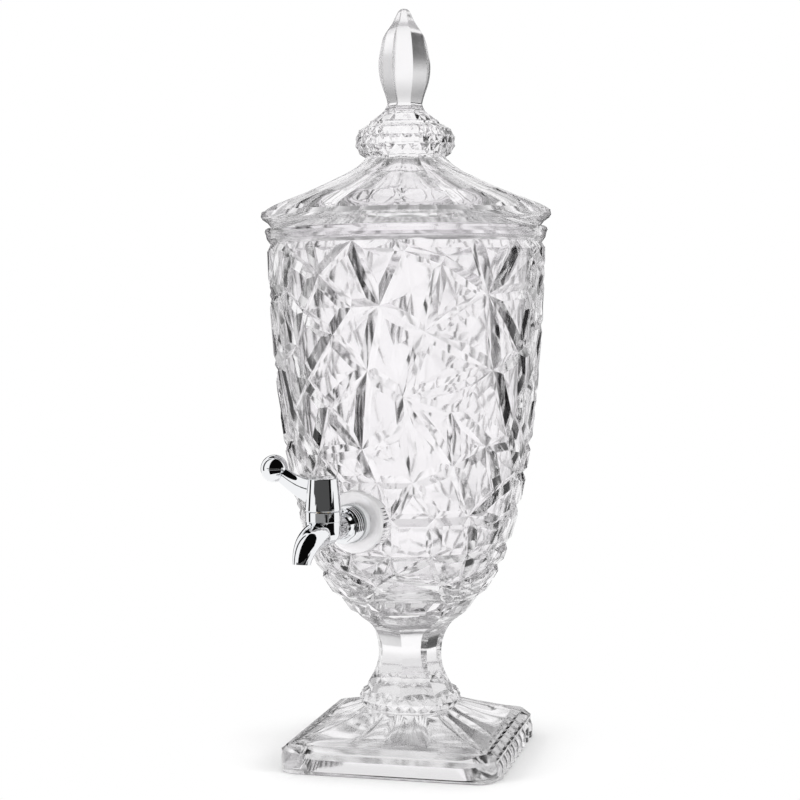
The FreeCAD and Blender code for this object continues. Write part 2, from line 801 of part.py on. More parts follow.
def ribbed_collar():
    start = shank_front()
    pitch = TAP_COLLAR_LENGTH / COLLAR_RIBS
    valley = TAP_COLLAR_RADIUS - COLLAR_RIB_DEPTH
    crest, crest_end, end = [share * pitch for share in COLLAR_RIB_PROFILE]
    outline = [(start, 0)]
    for i in range(COLLAR_RIBS):
        left = start + i * pitch
        outline += [(left, valley), (left + crest, TAP_COLLAR_RADIUS),
                    (left + crest_end, TAP_COLLAR_RADIUS), (left + end, valley)]
    outline += [(start + TAP_COLLAR_LENGTH, valley), (start + TAP_COLLAR_LENGTH, 0)]
    return along_tap(outline)


def spout_ring(reach, level, slope, radius):
    lean = math.radians(slope)
    way = V(0, -math.cos(lean), -math.sin(lean))
    return Part.Wire([Part.makeCircle(radius, on_barrel(level) + TAP_WAY * reach, way)])


def spout(bore):
    wires = [spout_ring(reach, level, slope, inner if bore else outer)
             for reach, level, slope, outer, inner in SPOUT_STATIONS]
    return Part.makeLoft(wires, True, False)


def round_ends(solid, radius):
    """Round off the circular edges of a rod, cone or disc."""
    return solid.makeFillet(radius, [edge for edge in solid.Edges if len(edge.Vertexes) == 1])


def tap_body():
    start = shank_front() + TAP_COLLAR_LENGTH
    neck = along_tap([(start, 0), (start, NECK_RADIUS + NECK_FLARE),
                      (start + NECK_FLARE_LENGTH, NECK_RADIUS), (barrel_reach(), NECK_RADIUS),
                      (barrel_reach(), 0)])
    radius = chamber_radius() + BARREL_WALL
    barrel = barrel_rod(radius, chamber_floor() - BARREL_FLOOR, BARREL_TOP)
    low_edge = min((edge for edge in barrel.Edges if len(edge.Vertexes) == 1),
                   key=lambda edge: edge.Vertexes[0].Z)
    barrel = barrel.makeFillet(BARREL_ROUND, [low_edge])
    bonnet_space = barrel_rod(bonnet_radius() + BONNET_SIDE_GAP, BARREL_TOP, bonnet_top())
    casting = barrel.fuse([neck, spout(False)]).cut(bonnet_space)
    tube = barrel_rod(tube_radius(), BARREL_TOP, tube_top())
    shape = casting.fuse([tube, ribbed_collar(), threaded_shank()])
    chamber = barrel_rod(chamber_radius(), chamber_floor(), tube_top() + PAST)
    inlet = tap_ring(0, barrel_reach() - PLUG_RADIUS - INLET_WEB, SHANK_BORE, 0)
    port = tap_ring(0, barrel_reach(), PORT_RADIUS, 0)
    return shape.cut([chamber, inlet, port, spout(True)])


def outer_washer():
    return tap_ring(boss_reach(), OUTER_WASHER_THICK, WASHER_RADIUS, SHANK_RADIUS + THREAD_FIT)


def inner_washer():
    return tap_ring(seat_reach() - INNER_WASHER_THICK, INNER_WASHER_THICK, WASHER_RADIUS,
                    SHANK_RADIUS + THREAD_FIT)


def backing_washer():
    return tap_ring(backing_start(), BACKING_THICK, BACKING_RADIUS, SHANK_RADIUS + THREAD_FIT)


def lock_nut():
    start = nut_start()
    end = start + NUT_THICK
    corner = NUT_ACROSS_FLATS / 2 / math.cos(math.radians(30))
    points = [V(corner * math.cos(math.radians(60 * i)), -start,
                tap_height() + corner * math.sin(math.radians(60 * i))) for i in range(7)]
    hexagon = Part.Face(Part.makePolygon(points)).extrude(TAP_WAY * NUT_THICK)
    chamfer = along_tap([(start, 0), (start, corner - NUT_CHAMFER), (start + NUT_CHAMFER, corner),
                         (end - NUT_CHAMFER, corner), (end, corner - NUT_CHAMFER), (end, 0)])
    bore = tap_ring(start - PAST, NUT_THICK + 2 * PAST, SHANK_RADIUS + THREAD_FIT, 0)
    return hexagon.common(chamfer).cut(bore)


def bonnet_ring():
    """Screwed ring that keeps the plug's flange down, with a slot for its stop lug."""
    ring = round_ends(barrel_rod(bonnet_radius(), BARREL_TOP, bonnet_top()), BONNET_ROUND)
    inside = barrel_rod(tube_radius() + BONNET_FIT, BARREL_TOP - PAST, flange_space_top())
    throat = barrel_rod(PLUG_STEM_RADIUS + PLUG_STEM_GAP, BARREL_TOP, bonnet_top() + PAST)
    spare = LUG_HALF_ANGLE + LUG_SLACK_ANGLE
    slot = sector(lug_radius() + LUG_GAP, tube_top(), flange_space_top(),
                  CLOSED_ANGLE - spare, OPEN_ANGLE + spare)
    return ring.cut([inside, throat, slot])


def seal_ring(level):
    middle = chamber_radius() - SEAL_WIRE - SEAL_CLEARANCE
    return Part.makeTorus(middle, SEAL_WIRE, on_barrel(level), UP)


def seal_groove(level):
    """Square groove in the plug, as deep as the seal with its clearance on both sides."""
    root = chamber_radius() - 2 * (SEAL_WIRE + SEAL_CLEARANCE)
    outer = barrel_rod(PLUG_RADIUS + PAST, level - SEAL_WIRE, level + SEAL_WIRE)
    return outer.cut(barrel_rod(root, level - SEAL_WIRE - PAST, level + SEAL_WIRE + PAST))


def valve_plug():
    flange = flange_bottom()
    lower = barrel_rod(PLUG_RADIUS, chamber_floor() + FLANGE_GAP, flange)
    disc = barrel_rod(tube_radius() - FLANGE_INSET, flange, flange + FLANGE_THICK)
    lug = sector(lug_radius(), flange, flange + FLANGE_THICK, -LUG_HALF_ANGLE, LUG_HALF_ANGLE)
    stem = barrel_rod(PLUG_STEM_RADIUS, flange, cap_base())
    drive = barrel_box(DRIVE_SIDE, flange, drive_top())
    shape = lower.fuse([disc, lug, stem, drive])
    port = tap_ring(barrel_reach() - PLUG_RADIUS - PAST, 2 * (PLUG_RADIUS + PAST), PORT_RADIUS, 0)
    screw_hole = barrel_rod(SCREW_RADIUS + DRIVE_FIT, screw_seat() - SCREW_LENGTH - SCREW_END_GAP,
                            drive_top() + PAST)
    return shape.cut([port, screw_hole, seal_groove(upper_seal()), seal_groove(lower_seal())])


def lever_ring(reach, rise, slope, half_height, half_width):
    """Upright oval across the lever."""
    oval = Part.Ellipse(V(0, 0, 0), half_height, half_width)
    wire = Part.Wire([oval.toShape()])
    wire.rotate(V(0, 0, 0), V(0, 1, 0), -90)
    wire.rotate(V(0, 0, 0), UP, -90)
    wire.rotate(V(0, 0, 0), V(1, 0, 0), -slope)
    wire.translate(on_barrel(cap_base() + rise) + TAP_WAY * reach)
    return wire


def lever_end():
    """Middle of the lever's end face, and the way it points."""
    reach, rise, slope, _, _ = LEVER_STATIONS[-1]
    lean = math.radians(slope)
    return (on_barrel(cap_base() + rise) + TAP_WAY * reach,
            V(0, -math.cos(lean), math.sin(lean)))


def ball_centre():
    end, way = lever_end()
    return end + way * BALL_DISTANCE


def stud(radius, length):
    """Round stud from inside the lever into the ball."""
    end, way = lever_end()
    return Part.makeCylinder(radius, STUD_ROOT + length, end - way * STUD_ROOT, way)


def tap_handle():
    base = cap_base()
    cap = round_ends(Part.makeCone(CAP_BASE_RADIUS, CAP_TOP_RADIUS, CAP_HEIGHT,
                                   on_barrel(base), UP), CAP_EDGE_ROUND)
    lever = Part.makeLoft([lever_ring(*station) for station in LEVER_STATIONS], True, False)
    ball_seat = Part.makeSphere(BALL_RADIUS + STUD_FIT, ball_centre(), UP)
    arm = lever.cut(ball_seat).fuse(stud(STUD_RADIUS, STUD_LENGTH))
    socket = barrel_box(DRIVE_SIDE + 2 * DRIVE_FIT, base - PAST, drive_top() + DRIVE_END_GAP)
    screw_way = barrel_rod(SCREW_RADIUS + SCREW_GAP, base, screw_seat() + PAST)
    head_way = barrel_rod(SCREW_HEAD_RADIUS + SCREW_GAP, screw_seat(), cap_top())
    cover_seat = barrel_rod(COVER_RADIUS + COVER_FIT, cap_top() - COVER_THICK, cap_top() + PAST)
    return cap.fuse(arm).cut([socket, screw_way, head_way, cover_seat])


def lever_ball():
    ball = Part.makeSphere(BALL_RADIUS, ball_centre(), UP)
    return ball.cut(stud(STUD_RADIUS + STUD_FIT, STUD_LENGTH + STUD_FIT))


def handle_screw():
    seat = screw_seat()
    top = seat + SCREW_HEAD_THICK
    head = round_ends(barrel_rod(SCREW_HEAD_RADIUS, seat, top), SCREW_HEAD_ROUND)
    shaft = barrel_rod(SCREW_RADIUS, seat - SCREW_LENGTH, seat + SCREW_HEAD_THICK / 2)
    corner = on_barrel(top - SCREW_SLOT_DEPTH) - V(SCREW_HEAD_RADIUS + PAST, SCREW_SLOT_WIDTH / 2, 0)
    slot = Part.makeBox(2 * (SCREW_HEAD_RADIUS + PAST), SCREW_SLOT_WIDTH, SCREW_SLOT_DEPTH + PAST,
                        corner)
    return head.fuse(shaft).cut(slot)


def cap_cover():
    return round_ends(barrel_rod(COVER_RADIUS, cap_top() - COVER_THICK, cap_top()), COVER_ROUND)


def at_closed(shape):
    """Turn a handle piece from above the spout to where it stands at rest."""
    shape.rotate(on_barrel(0), UP, CLOSED_ANGLE)
    return shape


def save(name, shape):
    if shape.ShapeType != "Solid" and len(shape.Solids) == 1:
        shape = shape.Solids[0]
    shape.exportStep("parts/" + name + ".step")
    print(name, "solids", len(shape.Solids), "volume", round(shape.Volume, 1),
          "valid", shape.isValid())


def main():
    os.makedirs("parts", exist_ok=True)
    save("tank", tank())
    save("pedestal", pedestal())
    save("lid", lid())
    save("tap_body", tap_body())
    save("outer_washer", outer_washer())
    save("inner_washer", inner_washer())
    save("backing_washer", backing_washer())
    save("lock_nut", lock_nut())
    save("bonnet_ring", bonnet_ring())
    save("valve_plug", at_closed(valve_plug()))
    save("plug_seal_upper", at_closed(seal_ring(upper_seal())))
    save("plug_seal_lower", at_closed(seal_ring(lower_seal())))
    save("tap_handle", at_closed(tap_handle()))
    save("lever_ball", at_closed(lever_ball()))
    save("handle_screw", at_closed(handle_screw()))
    save("cap_cover", at_closed(cap_cover()))


main()
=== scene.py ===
"""Glass beverage dispenser: finishes, polished edges, camera and light around the fixed frame.

The script is laid out as an add-on. Each operator makes one piece or one group of like
pieces of the dispenser, and main calls them in order.
"""

import math

import bpy
from mathutils import Matrix, Vector
from mathutils.bvhtree import BVHTree
from mathutils.interpolate import poly_3d_calc


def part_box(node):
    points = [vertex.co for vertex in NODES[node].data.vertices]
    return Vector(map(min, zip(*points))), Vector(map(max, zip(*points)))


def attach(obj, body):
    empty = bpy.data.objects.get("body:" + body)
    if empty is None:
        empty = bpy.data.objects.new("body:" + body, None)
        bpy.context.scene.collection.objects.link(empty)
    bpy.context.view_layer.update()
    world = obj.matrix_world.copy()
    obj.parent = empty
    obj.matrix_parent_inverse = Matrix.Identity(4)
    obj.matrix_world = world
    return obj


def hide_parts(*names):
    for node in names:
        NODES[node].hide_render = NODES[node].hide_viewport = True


bl_info = {
    "name": "Glass Beverage Dispenser",
    "version": (1, 0, 0),
    "blender": (4, 5, 0),
    "location": "View3D > Sidebar > Dispenser",
    "description": "Dresses the pressed glass dispenser and its chrome tap",
    "category": "Object",
}

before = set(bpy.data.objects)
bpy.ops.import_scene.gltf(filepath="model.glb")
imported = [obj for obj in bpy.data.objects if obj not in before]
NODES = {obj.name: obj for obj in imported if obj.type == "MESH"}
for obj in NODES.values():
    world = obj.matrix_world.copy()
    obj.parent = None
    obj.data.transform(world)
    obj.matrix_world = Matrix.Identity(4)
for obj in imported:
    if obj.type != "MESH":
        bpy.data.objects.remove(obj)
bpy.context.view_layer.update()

MM = 0.001
GLASS_IOR = 1.52

# Points nearer to each other than this are merged
MERGE_DISTANCE = 0.002 * MM
# Faces that meet at fewer degrees than this become one
FLAT_ANGLE = 0.3
# Edges flatter than this many degrees are shaded smooth
SMOOTH_ANGLE = 30.0
# Edges sharper than these degrees get a polished strip
TANK_CREASE = 14.0
MOULDING_CREASE = 20.0
CHROME_CREASE = 30.0
# A face's corner is looked up this share of the way to the face's middle
CORNER_SHIFT = 0.02

# The ground pad round the tap, and how far behind its face the grinding reaches
PAD_RADIUS = 20.5 * MM
PAD_DEPTH = 8 * MM
# The tank's inside floor lies at least this far below its rim
INSIDE_DEPTH = 20 * MM
# The hollow under the foot has its roof between these heights
HOLLOW_LOW = 1 * MM
HOLLOW_HIGH = 12 * MM
# A face of the joint between bowl and stem is this close to its height
JOINT_TOLERANCE = 0.01 * MM
# A face looks inward where its normal points away from the axis by less than this
INWARD = -0.2
# A face is nearly level, or quite level, where its normal is at least this upright
NEARLY_LEVEL = 0.9
QUITE_LEVEL = 0.99

CAMERA_AZIMUTH = 25.0
# Light crosses many walls in cut glass, and a path that stops early comes out black
LIGHT_BOUNCES = 32
# The paper lies this far under the foot, so that the two don't flicker
FLOOR_DROP = 0.4 * MM
TENT_FOLDS = 4
CARD_STEPS = 6
# Soft boxes: name and bearing. They stand alike, and aim at the middle of the dispenser.
SOFT_BOXES = [("soft_box_left", -60), ("soft_box_right", 65)]
SOFT_BOX_DISTANCE = 1.5
SOFT_BOX_HEIGHT = 0.6
SOFT_BOX_WIDTH = 0.5
SOFT_BOX_TALL = 1.2
SOFT_BOX_AIM = Vector((0, 0, 0.22))
# Cards: name, first and last bearing, low and high edge, distance of the foot and of the
# top, tone, and what shows it. Bearings are from the camera's side of the dispenser: 0 is
# the camera, 180 the backdrop, and bearings below 0 are on the left of the picture.
CARDS = [
    ("metal_card_top", -42, 80, 0.29, 1.3, 1.0, 0.05, "#0A0A0A", "metal"),
    ("metal_card_cap", -60, 54, 0.21, 0.29, 1.0, 1.0, "#4E4E4E", "metal"),
    ("metal_card_cap_edge", 38, 54, 0.21, 0.29, 0.95, 0.95, "#060606", "metal"),
    ("metal_card_middle", -42, 70, 0.12, 0.21, 1.0, 1.0, "#0C0C0C", "metal"),
    ("metal_card_low", -48, 54, 0.05, 0.12, 1.0, 1.0, "#8C8C8C", "metal"),
    ("metal_card_floor", -42, 70, 0.002, 0.05, 0.35, 1.0, "#0C0C0C", "metal"),
    ("metal_card_left", -100, -84, 0.0, 1.2, 1.0, 0.3, "#0A0A0A", "metal"),
    ("metal_card_over", 138, 240, 0.9, 1.3, 0.7, 0.05, "#0A0A0A", "metal"),
    ("metal_card_rim_left", -177, -142, 0.0, 0.6, 1.0, 1.0, "#141414", "metal"),
    ("metal_card_rim_right", 142, 177, 0.0, 0.6, 1.0, 1.0, "#141414", "metal"),
    ("glass_card_left_back", -157, -122, 0.0, 0.7, 1.0, 1.0, "#020202", "glass"),
    ("glass_card_left", -110, -40, 0.0, 0.7, 1.0, 1.0, "#020202", "glass"),
    ("glass_card_right", 76, 142, 0.0, 0.7, 1.0, 1.0, "#121012", "glass"),
    ("glass_card_front_right", 20, 48, 0.0, 0.7, 1.0, 1.0, "#7A767A", "glass"),
    ("glass_card_low_left", -150, -40, 0.002, 0.003, 0.18, 0.6, "#101010", "glass"),
    ("glass_card_low_right", 40, 140, 0.002, 0.003, 0.18, 0.6, "#101010", "glass"),
]


class GlassSettings(bpy.types.PropertyGroup):
    """Pressed glass of the tank, lid and pedestal."""

    body_colour: bpy.props.FloatVectorProperty(
        name="Glass colour", description="Light that the clear glass lets through",
        subtype="COLOR", size=3, min=0.0, max=1.0, default=(0.998, 0.988, 1.0))
    ridge_round: bpy.props.FloatProperty(
        name="Ridge rounding", description="Width of the fire-polished edge on each cut",
        unit="LENGTH", default=0.45 * MM, min=0.0, max=3 * MM)
    inside_roughness: bpy.props.FloatProperty(
        name="Inside roughness", description="Roughness that the plunger leaves on the inside",
        subtype="FACTOR", default=0.09, min=0.0, max=1.0)
    finial_height: bpy.props.FloatProperty(
        name="Finial height", description="Height of the hazy finial above the knop",
        unit="LENGTH", default=60 * MM, min=0.0)
    ripple_height: bpy.props.FloatProperty(
        name="Ripple height", description="Depth of the slow waves that pressing leaves",
        unit="LENGTH", default=0.05 * MM, min=0.0, max=1 * MM)
    ripple_width: bpy.props.FloatProperty(
        name="Ripple width", description="Distance from one wave to the next",
        unit="LENGTH", default=9 * MM, min=1 * MM, max=60 * MM)


class TapSettings(bpy.types.PropertyGroup):
    """Chrome pieces of the tap."""

    edge_round: bpy.props.FloatProperty(
        name="Edge rounding", description="Width of the polished edge on the chrome pieces",
        unit="LENGTH", default=0.25 * MM, min=0.0, max=2 * MM)
    chrome_roughness: bpy.props.FloatProperty(
        name="Chrome roughness", description="Haze of the plated finish",
        subtype="FACTOR", default=0.015, min=0.0, max=1.0)


class StageSettings(bpy.types.PropertyGroup):
    """Floor, light tent and soft boxes."""

    floor_side: bpy.props.FloatProperty(
        name="Floor side", description="Side of the pale floor",
        unit="LENGTH", default=12.0, min=1.0)
    paper_near: bpy.props.FloatProperty(
        name="Paper near", description="Distance from the axis where the paper starts to fade",
        unit="LENGTH", default=0.085, min=0.0)
    paper_far: bpy.props.FloatProperty(
        name="Paper far", description="Distance from the axis where only white backdrop is left",
        unit="LENGTH", default=0.15, min=0.0)
    # Painted shadow on the floor that the glass shows: dimmed to the tone below at the foot, back
    # to white at the reach
    painted_shadow_reach: bpy.props.FloatProperty(
        name="Shade reach", description="How far out the glass shows the floor in its own shade",
        unit="LENGTH", default=0.5, min=0.0)
    painted_shadow_tone: bpy.props.FloatProperty(
        name="Shade tone", description="Brightness of the floor that the glass shows at the foot",
        subtype="FACTOR", default=0.8, min=0.0, max=1.0)
    roof_start: bpy.props.FloatProperty(
        name="Roof start", description="Elevation where the tent starts to darken, in degrees",
        default=12.0, min=0.0, max=90.0)
    roof_end: bpy.props.FloatProperty(
        name="Roof end", description="Elevation from which the tent is darkest, in degrees",
        default=60.0, min=0.0, max=90.0)
    roof_tone: bpy.props.FloatProperty(
        name="Roof tone", description="Brightness of the tent overhead",
        subtype="FACTOR", default=0.34, min=0.0, max=1.0)
    fold_tone: bpy.props.FloatProperty(
        name="Fold tone", description="Brightness of the tent between its white folds",
        subtype="FACTOR", default=0.42, min=0.0, max=1.0)
    soft_box_power: bpy.props.FloatProperty(
        name="Soft box power", description="Power of each soft box",
        unit="POWER", default=10.0, min=0.0)


def settings(group):
    return getattr(bpy.context.scene, "dispenser_" + group)


def linear(hex_code):
    """Linear colour of an sRGB hex code such as #C8CCD0."""
    parts = [int(hex_code[i:i + 2], 16) / 255 for i in (1, 3, 5)]
    return tuple(c / 12.92 if c <= 0.04045 else ((c + 0.055) / 1.055) ** 2.4 for c in parts)


def add_node(tree, kind, values=None, **attributes):
    """Add a shader node. Values are set on its sockets, and a tuple (node, output) is linked."""
    node = tree.nodes.new(kind)
    for name, value in attributes.items():
        setattr(node, name, value)
    for name, value in (values or {}).items():
        if isinstance(value, tuple) and isinstance(value[0], bpy.types.Node):
            tree.links.new(value[0].outputs[value[1]], node.inputs[name])
        else:
            node.inputs[name].default_value = value
    return node


def new_material(name):
    material = bpy.data.materials.new(name)
    material.use_nodes = True
    material.node_tree.nodes.clear()
    return material, material.node_tree


def finish_material(tree, shader):
    add_node(tree, "ShaderNodeOutputMaterial", {"Surface": (shader, 0)})


def glass_surface(name, smoothest, roughest, grain_height=0.0, grain_size=1 * MM, clear=1.0):
    """Soda-lime glass, pressed in a mould and fire polished.

    Clear with a faint mauve body colour. Slow ripples from the mould bend what is seen
    through it. The skin's roughness and grain are what the mould or a grinding wheel left,
    and clear is the share of light that it lets through without turning milky.
    """
    glass = settings("glass")
    haze_width = 22 * MM
    material, tree = new_material(name)
    place = add_node(tree, "ShaderNodeTexCoord")
    ripples = add_node(tree, "ShaderNodeTexNoise", {
        "Vector": (place, "Object"), "Scale": 1 / glass.ripple_width, "Detail": 1.0,
        "Roughness": 0.4, "Distortion": 0.3})
    bump = add_node(tree, "ShaderNodeBump", {
        "Height": (ripples, 0), "Strength": 1.0, "Distance": glass.ripple_height})
    if grain_height:
        grain = add_node(tree, "ShaderNodeTexNoise", {
            "Vector": (place, "Object"), "Scale": 1 / grain_size, "Detail": 2.0})
        bump = add_node(tree, "ShaderNodeBump", {
            "Height": (grain, 0), "Strength": 1.0, "Distance": grain_height,
            "Normal": (bump, 0)})
    haze = add_node(tree, "ShaderNodeTexNoise", {
        "Vector": (place, "Object"), "Scale": 1 / haze_width, "Detail": 2.0})
    roughness = add_node(tree, "ShaderNodeMapRange", {
        "Value": (haze, 0), "From Min": 0.35, "From Max": 0.7, "To Min": smoothest,
        "To Max": roughest})
    shader = add_node(tree, "ShaderNodeBsdfPrincipled", {
        "Base Color": (*glass.body_colour, 1.0), "Roughness": (roughness, 0), "IOR": GLASS_IOR,
        "Transmission Weight": clear, "Normal": (bump, 0)})
    finish_material(tree, shader)
    return material


def clear_cement():
    """Clear cement between the bowl and the stem, which has the glass's own index.

    Light goes straight through it, so the joint can't be seen, as on the real object.
    """
    material, tree = new_material("clear_glass_cement")
    finish_material(tree, add_node(tree, "ShaderNodeBsdfTransparent", {
        "Color": (0.99, 0.99, 0.99, 1.0)}))
    return material


def chrome_plate():
    """Bright nickel-chrome plate on die-cast zinc.

    Mirror bright and slightly cool, with faint polishing haze and a few handling marks.
    """
    material, tree = new_material("bright_chrome_plate")
    place = add_node(tree, "ShaderNodeTexCoord")
    cloud = add_node(tree, "ShaderNodeTexNoise", {
        "Vector": (place, "Object"), "Scale": 1 / (6 * MM), "Detail": 4.0})
    base = settings("tap").chrome_roughness
    roughness = add_node(tree, "ShaderNodeMapRange", {
        "Value": (cloud, 0), "From Min": 0.4, "From Max": 0.75, "To Min": base,
        "To Max": base * 2.2})
    shader = add_node(tree, "ShaderNodeBsdfPrincipled", {
        "Base Color": (*linear("#F1F2F4"), 1.0), "Metallic": 1.0, "Roughness": (roughness, 0)})
    finish_material(tree, shader)
    return material


def clear_silicone():
    """Moulded clear silicone: milky, soft and slightly dull from its mould."""
    material, tree = new_material("moulded_clear_silicone")
    place = add_node(tree, "ShaderNodeTexCoord")
    grain = add_node(tree, "ShaderNodeTexNoise", {
        "Vector": (place, "Object"), "Scale": 1 / (0.8 * MM), "Detail": 3.0})
    bump = add_node(tree, "ShaderNodeBump", {
        "Height": (grain, 0), "Strength": 0.4, "Distance": 0.05 * MM})
    colour = add_node(tree, "ShaderNodeValToRGB", {"Fac": (grain, 0)})
    colour.color_ramp.elements[0].color = (*linear("#D9DBDD"), 1.0)
    colour.color_ramp.elements[1].color = (*linear("#F2F3F4"), 1.0)
    shader = add_node(tree, "ShaderNodeBsdfPrincipled", {
        "Base Color": (colour, 0), "Roughness": 0.28, "IOR": 1.41,
        "Transmission Weight": 0.35, "Normal": (bump, 0)})
    finish_material(tree, shader)
    return material


def moulded_nylon():
    """Natural nylon, injection moulded: warm white with a fine matt grain."""
    material, tree = new_material("moulded_natural_nylon")
    place = add_node(tree, "ShaderNodeTexCoord")
    grain = add_node(tree, "ShaderNodeTexNoise", {
        "Vector": (place, "Object"), "Scale": 1 / (0.4 * MM), "Detail": 4.0})
    colour = add_node(tree, "ShaderNodeValToRGB", {"Fac": (grain, 0)})
    colour.color_ramp.elements[0].color = (*linear("#DDDAD0"), 1.0)
    colour.color_ramp.elements[1].color = (*linear("#EBE9E2"), 1.0)
    bump = add_node(tree, "ShaderNodeBump", {
        "Height": (grain, 0), "Strength": 0.3, "Distance": 0.03 * MM})
    shader = add_node(tree, "ShaderNodeBsdfPrincipled", {
        "Base Color": (colour, 0), "Roughness": 0.45, "Normal": (bump, 0)})
    finish_material(tree, shader)
    return material


def turned_metal(name, hex_code, ring_pitch, roughness):
    """Bar stock turned in a lathe, which leaves fine rings across the axis of the barrel."""
    material, tree = new_material(name)
    place = add_node(tree, "ShaderNodeTexCoord")
    rings = add_node(tree, "ShaderNodeTexWave", {
        "Vector": (place, "Object"), "Scale": 1 / (20 * ring_pitch), "Distortion": 0.4,
        "Detail": 1.0}, wave_type="BANDS", bands_direction="Z")
    bump = add_node(tree, "ShaderNodeBump", {
        "Height": (rings, "Fac"), "Strength": 0.35, "Distance": 0.02 * MM})
    shade = add_node(tree, "ShaderNodeMapRange", {
        "Value": (rings, "Fac"), "To Min": roughness, "To Max": roughness * 1.5})
    shader = add_node(tree, "ShaderNodeBsdfPrincipled", {
        "Base Color": (*linear(hex_code), 1.0), "Metallic": 1.0, "Roughness": (shade, 0),
        "Normal": (bump, 0)})
    finish_material(tree, shader)
    return material


def seal_rubber():
    """Moulded nitrile rubber, black with a soft sheen from its grease."""
    material, tree = new_material("greased_nitrile_rubber")
    place = add_node(tree, "ShaderNodeTexCoord")
    smear = add_node(tree, "ShaderNodeTexNoise", {
        "Vector": (place, "Object"), "Scale": 1 / (2 * MM), "Detail": 2.0})
    roughness = add_node(tree, "ShaderNodeMapRange", {
        "Value": (smear, 0), "To Min": 0.25, "To Max": 0.5})
    shader = add_node(tree, "ShaderNodeBsdfPrincipled", {
        "Base Color": (*linear("#141414"), 1.0), "Roughness": (roughness, 0)})
    finish_material(tree, shader)
    return material


def only(obj):
    """Make obj the one selected and active object."""
    bpy.ops.object.select_all(action="DESELECT")
    obj.select_set(True)
    bpy.context.view_layer.objects.active = obj


def own_copy(node, name):
    """A new object with its own merged copy of a node's mesh."""
    piece = NODES[node].copy()
    piece.data = NODES[node].data.copy()
    piece.name = name
    piece.data.name = name
    piece.parent = None
    for key in list(piece.keys()):
        del piece[key]
    bpy.context.collection.objects.link(piece)
    only(piece)
    if piece.data.has_custom_normals:
        bpy.ops.mesh.customdata_custom_splitnormals_clear()
    bpy.ops.object.mode_set(mode="EDIT")
    bpy.ops.mesh.select_all(action="SELECT")
    bpy.ops.mesh.remove_doubles(threshold=MERGE_DISTANCE)
    bpy.ops.mesh.dissolve_limited(angle_limit=math.radians(FLAT_ANGLE))
    bpy.ops.object.mode_set(mode="OBJECT")
    return piece


def polish_edges(piece, width, angle):
    """Cut a narrow strip along every edge that is sharper than the angle."""
    only(piece)
    bevel = piece.modifiers.new("polished_edges", "BEVEL")
    bevel.width = width
    bevel.segments = 1
    bevel.limit_method = "ANGLE"
    bevel.angle_limit = math.radians(angle)
    bevel.use_clamp_overlap = True
    bpy.ops.object.modifier_apply(modifier=bevel.name)
    bpy.ops.object.shade_smooth_by_angle(angle=math.radians(SMOOTH_ANGLE))


def carry_normals(piece, node, averaged=None):
    """Shade the piece with the true surface directions of its node.

    A strip on an edge then turns evenly from one side's direction to the other's, as a
    rounded edge does. Faces that averaged(centre, normal) picks keep smooth shading instead.
    """
    source = NODES[node].data
    triangles = source.loop_triangles
    spots = [vertex.co for vertex in source.vertices]
    tree = BVHTree.FromPolygons(spots, [tuple(t.vertices) for t in triangles])
    true = [corner.vector for corner in source.corner_normals]
    mesh = piece.data
    own = [corner.vector.copy() for corner in mesh.corner_normals]
    normals = []
    for face in mesh.polygons:
        keep = averaged and averaged(face.center, face.normal)
        for loop in face.loop_indices:
            if keep:
                normals.append(own[loop])
                continue
            corner = mesh.vertices[mesh.loops[loop].vertex_index].co
            spot, _, number, _ = tree.find_nearest(corner.lerp(face.center, CORNER_SHIFT))
            triangle = triangles[number]
            shares = poly_3d_calc([spots[v] for v in triangle.vertices], spot)
            way = sum((true[i] * share for i, share in zip(triangle.loops, shares)), Vector())
            normals.append(way.normalized())
    mesh.shade_smooth()
    mesh.normals_split_custom_set(normals)


def finish_faces(piece, material, chosen):
    """Give the faces that chosen(centre, normal) picks a material of their own."""
    piece.data.materials.append(material)
    slot = len(piece.data.materials) - 1
    for face in piece.data.polygons:
        if chosen(face.center, face.normal):
            face.material_index = slot


def dress(piece, material, body=None, node=None):
    """Give a piece its material and slot. A new piece also takes a node's place on a body."""
    piece.data.materials.clear()
    piece.data.materials.append(material)
    if node:
        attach(piece, body)
        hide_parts(node)


def photo_camera():
    """Camera that sees the dispenser as in the photograph."""
    azimuth = math.radians(CAMERA_AZIMUTH)
    distance = 1.1482
    height = 0.30825
    pitch = math.radians(3.66)
    roll = math.radians(-0.54)
    yaw = math.radians(-0.25)
    focal_pixels = 1741.5
    picture_pixels = 800.0
    sensor = 36.0
    place = Vector((distance * math.sin(azimuth), -distance * math.cos(azimuth), height))
    turn = Matrix.Rotation(azimuth, 3, "Z")
    forward = turn @ Vector((math.sin(yaw) * math.cos(pitch), math.cos(yaw) * math.cos(pitch),
                             -math.sin(pitch)))
    level = turn @ Vector((math.cos(yaw), -math.sin(yaw), 0))
    above = level.cross(forward)
    right = math.cos(roll) * level + math.sin(roll) * above
    up = math.cos(roll) * above - math.sin(roll) * level
    data = bpy.data.cameras.new("camera")
    data.sensor_width = sensor
    data.lens = focal_pixels / picture_pixels * sensor
    camera = bpy.data.objects.new("camera", data)
    facing = Matrix((right, up, -forward)).transposed().to_4x4()
    camera.matrix_world = Matrix.Translation(place) @ facing
    bpy.context.collection.objects.link(camera)
    bpy.context.scene.camera = camera


def around(bearing, distance, height):
    """Point at a bearing from the camera's side of the dispenser, in degrees."""
    turn = math.radians(CAMERA_AZIMUTH + bearing)
    return Vector((distance * math.sin(turn), -distance * math.cos(turn), height))


